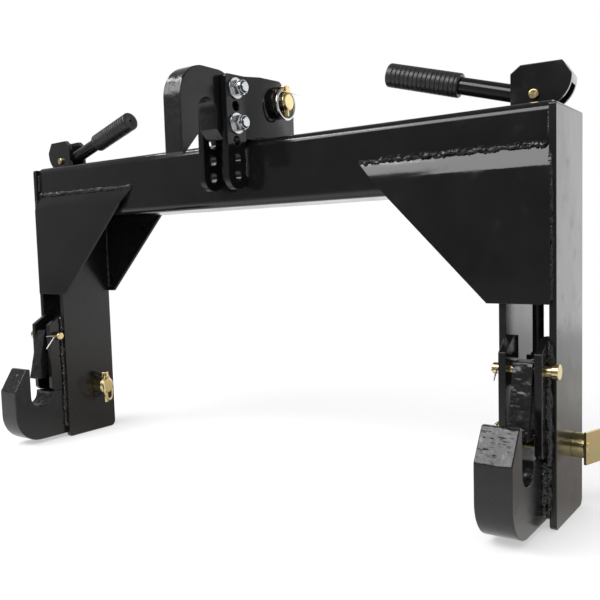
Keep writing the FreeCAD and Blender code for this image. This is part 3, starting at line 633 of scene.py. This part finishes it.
# The grip is turned about its bar: its radius over the length s is `base`, less the gaps between its rings,
# each exp(-(d / half the gap) ** 4) of the distance d to its middle, and less the two parting lines.
for side, way in sides.items():
    hinge = next(j for j in frame["joints"] if j["name"] == "lever_swing_" + side)
    root = np.array(hinge["pos_m"]) - (0, 0, bar_drop)
    across = np.array(hinge["axis"]) / np.linalg.norm(hinge["axis"])
    along = np.cross((0, 0, 1), across) * math.cos(bar_slope) + np.array([0, 0, math.sin(bar_slope)])
    level = way * across
    up = np.cross(along, level)
    turn = np.linspace(0, 2 * np.pi, 96, endpoint=False)[None, :]
    lip = np.linspace(0, np.pi / 2, 6)
    lip_s, lip_r = grip_edge_r * (1 - np.cos(lip)), grip_r - grip_edge_r * (1 - np.sin(lip))
    wall = np.arange(grip_start + grip_edge_r + row_gap, grip_end - grip_edge_r - row_gap, row)
    s = np.concatenate([[grip_start + mouth_depth, grip_start], grip_start + lip_s, wall,
                        grip_end - lip_s[::-1],
                        [grip_end, grip_end - vent_edge_depth, grip_end - vent_depth]])
    base = np.concatenate([[bar_r * 0.9, bar_r * 1.02], lip_r, np.full(len(wall), grip_r),
                           lip_r[::-1], [vent_r + vent_edge, vent_r, vent_r]])
    centred = (s - grip_start - first_rib) / rib_pitch
    groove = np.exp(-(np.abs(centred - np.round(centred)) * rib_pitch / (rib_gap / 2)) ** 4)
    groove = groove * (s > grip_start + plain_start) * (s < grip_end - plain_end)
    seam = sum(np.exp(-(((turn - place + np.pi) % (2 * np.pi) - np.pi) * grip_r / seam_width) ** 2)
               for place in seam_turns)
    on_wall = (base > grip_r - seam_depth)[:, None]
    radius = base[:, None] - rib_depth * groove[:, None] - seam_depth * seam * on_wall
    rings = (root + s[:, None, None] * along
             + radius[..., None] * (np.cos(turn)[..., None] * level + np.sin(turn)[..., None] * up))
    piece = skin("lever_grip_" + side + ".vinyl", [sleeve(rings)], vinyl, "lever_" + side)
    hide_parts("lever_grip_" + side)


# Top bracket: two steel plates, joggled apart behind the hook and welded to the front and top of the beam.
# Turned bosses stand on the outsides of their ears, where the top link's pin goes through.

for side in sides:
    dressed("bracket_plate_" + side, frame_enamel, edge=0.0008)
    dressed("pin_boss_" + side, frame_enamel, edge=0.0010)
bracket_t = 0.0095
laid = []
for side, way in sides.items():
    low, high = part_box("bracket_plate_" + side)
    near, wide = (low.x, high.x) if way > 0 else (high.x, low.x)
    near_out, wide_in = near + way * bracket_t, wide - way * bracket_t
    start_z, stop_z = low.z + 0.017, beam_high.z - 0.010   # on the beam's front
    start_y, joggled_y, stop_y = beam_low.y + 0.010, beam_low.y + 0.022, beam_high.y - corner  # on its top
    laid.append(bead([(near_out, beam_low.y, start_z), (near_out, beam_low.y, stop_z)],
                     (way, -1, 0), r=0.0032, seed=610 + way, lumpy=0.24))
    laid.append(bead([(near, beam_low.y, start_z), (near, beam_low.y, stop_z)],
                     (-way, -1, 0), r=0.0028, seed=620 + way, lumpy=0.24))
    laid.append(bead([(near_out, start_y, beam_high.z), (wide, joggled_y, beam_high.z),
                      (wide, stop_y, beam_high.z)],
                     (way, 0, 1), r=0.0034, seed=630 + way))
    laid.append(bead([(near, start_y, beam_high.z), (wide_in, joggled_y, beam_high.z),
                      (wide_in, stop_y, beam_high.z)],
                     (-way, 0, 1), r=0.0030, seed=640 + way))
skin("bracket_welds", laid, weld_enamel, "frame")


# Top hook: flame cut from 30 mm steel plate, with its socket open downward. It stands between the bracket
# plates and is held by two bolts, in the upper holes of the row.

def edge_marked(normal, place):
    """Marks of one depth all round."""
    return np.full(len(normal), 0.40)


flame_cut("top_hook", hook_enamel, rounding=0.0016, relief=edge_marked, seed=710)


# Bolts, washers and lock nuts: half inch steel hardware, bright zinc plated. A ring of blue nylon is pressed
# into the end of each nut, to grip the bolt's thread.

dressed("hook_washers", bright_zinc, edge=0.0005)
dressed("hook_nuts", bright_zinc, edge=0.0005)
dressed("hook_bolts", bright_zinc, edge=0.0005)
nylon, tree, shader, where = finish_of("blue_nylon")
dye = add(tree, "Mix", data_type="RGBA")
dye.inputs["A"].default_value = (0.006, 0.010, 0.050, 1)
dye.inputs["B"].default_value = (0.012, 0.020, 0.090, 1)
tree.links.new(noise(tree, where, size=0.003, detail=3.0), dye.inputs["Factor"])
tree.links.new(dye.outputs["Result"], shader.inputs["Base Color"])
patches = noise(tree, where, size=0.001, detail=3.0)
tree.links.new(spread(tree, patches, 0.30, 0.45), shader.inputs["Roughness"])

washer_r = 0.014
ring_r, ring_half, ring_height, ring_sunk = 0.0073, 0.0009, 0.0006, 0.0002
washer_low, washer_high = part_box("hook_washers")
nut_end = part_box("hook_nuts")[1].x
turn = np.linspace(0, 2 * np.pi, 48, endpoint=False)[None, :]
t = np.linspace(0, np.pi, 9)[:, None]                      # over the ring, from its outside to its inside
rings = []
for z in (washer_low.z + washer_r, washer_high.z - washer_r):
    radius = ring_r + ring_half * np.cos(t)
    x = nut_end - ring_sunk + ring_height * np.sin(t)
    ring = np.stack([x + 0 * turn, (washer_low.y + washer_high.y) / 2 + radius * np.cos(turn),
                     z + radius * np.sin(turn)], -1)
    rings.append(sleeve(ring))
skin("nut_nylon", rings, nylon, "frame")


# Top link pin, its linch pin and the spring ring that snaps round its end: steel pins, yellow zinc plated,
# and a ring of spring wire, bright zinc plated. The linch pin keeps the link pin in its bosses.

dressed("top_link_pin", yellow_zinc, edge=0.0008)
dressed("top_linch_pin", yellow_zinc, edge=0.0008)
dressed("top_linch_ring", bright_zinc, edge=0)


# Floor, light and camera: a pale floor that fades to white, a high soft key in front, a narrow strip above
# and a soft lamp at the side. The camera sees a white surround. Gloss black is all reflection, so what the
# enamel mirrors is a studio in greys: dark in front and overhead, light behind, and a floor in painted bands.

ground = cad_box[0].z
bpy.ops.mesh.primitive_plane_add(size=24, location=(0, 0, ground - 0.0005))
floor = bpy.context.object
floor.name = "studio_floor"
paper, tree, shader, where = finish_of("white_paper")
tree.nodes.remove(shader)


def bands(tree, value, low, high, stops):
    """Colour that goes from stop to stop as the value goes from low to high. Each stop is (value, red, green,
    blue)."""
    share = add(tree, "MapRange", Value=value, From_Min=low, From_Max=high).outputs["Result"]
    ramp = add(tree, "ValToRGB", Fac=share)
    while len(ramp.color_ramp.elements) < len(stops):
        ramp.color_ramp.elements.new(0.5)
    for element, (place, *colour) in zip(ramp.color_ramp.elements, stops):
        element.position = (place - low) / (high - low)
        element.color = (*colour, 1)
    return ramp.outputs["Color"]


length = add(tree, "VectorMath", operation="LENGTH")
tree.links.new(where, length.inputs[0])
away = length.outputs["Value"]                             # metres from the middle
fade = spread(tree, away, 0.45, 1.0, start=0.75, stop=1.5)
path = add(tree, "LightPath")
direct = add(tree, "Math", operation="MULTIPLY")
tree.links.new(path.outputs["Is Camera Ray"], direct.inputs[0])
tree.links.new(fade, direct.inputs[1])
plain = add(tree, "MixShader")
tree.links.new(direct.outputs["Value"], plain.inputs["Fac"])
tree.links.new(add(tree, "BsdfDiffuse", Color=(0.93, 0.93, 0.93, 1)).outputs["BSDF"], plain.inputs[1])
tree.links.new(add(tree, "Emission", Color=(1, 1, 1, 1), Strength=1.0).outputs["Emission"], plain.inputs[2])
# Glossy rays see the floor as a painted reflection in bands along y, not as a lit floor. It is dark far in
# front and bright just in front of the hitch. Under and behind the hitch is a brownish painted shadow. It is
# light further back, with a darker line about a metre behind.
painted_floor_reflection = bands(tree, add(tree, "SeparateXYZ", Vector=where).outputs["Y"], -2.0, 2.0,
             [(-2.0, 0.22, 0.22, 0.22), (-1.0, 0.24, 0.24, 0.24), (-0.5, 0.52, 0.52, 0.52),
              (-0.2, 1.0, 1.0, 1.0), (-0.05, 1.0, 1.0, 0.98), (0.15, 0.45, 0.42, 0.39),
              (0.4, 0.51, 0.48, 0.45), (0.8, 1.0, 0.97, 0.90), (0.98, 1.0, 0.97, 0.90),
              (1.01, 0.60, 0.60, 0.57), (1.08, 1.0, 1.0, 1.0)])
blend = add(tree, "MixShader")
tree.links.new(path.outputs["Is Glossy Ray"], blend.inputs["Fac"])
tree.links.new(plain.outputs["Shader"], blend.inputs[1])
tree.links.new(add(tree, "Emission", Color=painted_floor_reflection, Strength=1.0).outputs["Emission"], blend.inputs[2])
output = next(n for n in tree.nodes if n.type == "OUTPUT_MATERIAL")
tree.links.new(blend.outputs["Shader"], output.inputs["Surface"])
floor.data.materials.append(paper)

world = bpy.data.worlds.new("white_room")
bpy.context.scene.world = world
world.use_nodes = True
tree = world.node_tree
tree.nodes.clear()
path = add(tree, "LightPath")
where = add(tree, "TexCoord").outputs["Generated"]
split = add(tree, "SeparateXYZ", Vector=where)
room = bands(tree, split.outputs["Y"], -1.0, 1.0,
             [(-1.0, 0.11, 0.11, 0.11), (-0.85, 0.15, 0.15, 0.15), (-0.6, 0.28, 0.28, 0.28),
              (0.0, 0.42, 0.42, 0.42), (0.7, 0.72, 0.72, 0.72), (0.9, 1.0, 1.0, 1.0)])
ceiling = bands(tree, split.outputs["Z"], -1.0, 1.0, [(0.45, 1.0, 1.0, 1.0), (0.80, 0.35, 0.35, 0.35)])
dimmed = add(tree, "Math", operation="MULTIPLY")
tree.links.new(room, dimmed.inputs[0])
tree.links.new(ceiling, dimmed.inputs[1])
strength = add(tree, "Mix", data_type="FLOAT", A=0.78)
tree.links.new(path.outputs["Is Glossy Ray"], strength.inputs["Factor"])
tree.links.new(dimmed.outputs["Value"], strength.inputs["B"])
seen = add(tree, "Mix", data_type="FLOAT", B=1.0)
direct = add(tree, "Math", operation="MAXIMUM")
tree.links.new(path.outputs["Is Camera Ray"], direct.inputs[0])
tree.links.new(path.outputs["Is Transmission Ray"], direct.inputs[1])
tree.links.new(direct.outputs["Value"], seen.inputs["Factor"])
tree.links.new(strength.outputs["Result"], seen.inputs["A"])
background = add(tree, "Background", Color=(1, 1, 1, 1))
tree.links.new(seen.outputs["Result"], background.inputs["Strength"])
tree.links.new(background.outputs["Background"], add(tree, "OutputWorld").inputs["Surface"])


def softbox(name, place, aim, wide, high, power):
    """Rectangular soft lamp at a place, facing a point."""
    lamp = bpy.data.lights.new(name, "AREA")
    lamp.shape = "RECTANGLE"
    lamp.size, lamp.size_y, lamp.energy = wide, high, power
    holder = bpy.data.objects.new(name, lamp)
    bpy.context.scene.collection.objects.link(holder)
    holder.location = place
    holder.rotation_euler = (Vector(aim) - Vector(place)).to_track_quat("-Z", "Y").to_euler()
    return holder


softbox("key", place=(-0.40, -1.35, 1.58), aim=(0, 0, 0.15), wide=2.4, high=1.1, power=46)
softbox("strip", place=(-1.1, -0.55, 1.70), aim=(0.0, 0, 0.3), wide=1.8, high=0.06, power=6)
softbox("side", place=(0.97, 1.90, 0.45), aim=(0.97, 0, 0.45), wide=1.0, high=1.06, power=2.6)

camera = bpy.data.objects.new("camera", bpy.data.cameras.new("camera"))
bpy.context.scene.collection.objects.link(camera)
camera.data.sensor_width = 36.0
camera.data.lens = 44.91
camera.data.shift_x = 0.0016
camera.data.shift_y = 0.0107
camera.data.clip_start = 0.05
stand = Vector((0.6811, -0.7486, 0.2350))
right = Vector((0.81363, 0.58067, -0.02898)).normalized()
ahead = Vector((-0.58093, 0.81000, -0.08011)).normalized()
over = right.cross(ahead)
camera.matrix_world = Matrix.Translation(stand) @ Matrix((right, over, -ahead)).transposed().to_4x4()
bpy.context.scene.camera = camera
bpy.context.scene.view_settings.view_transform = "Standard"
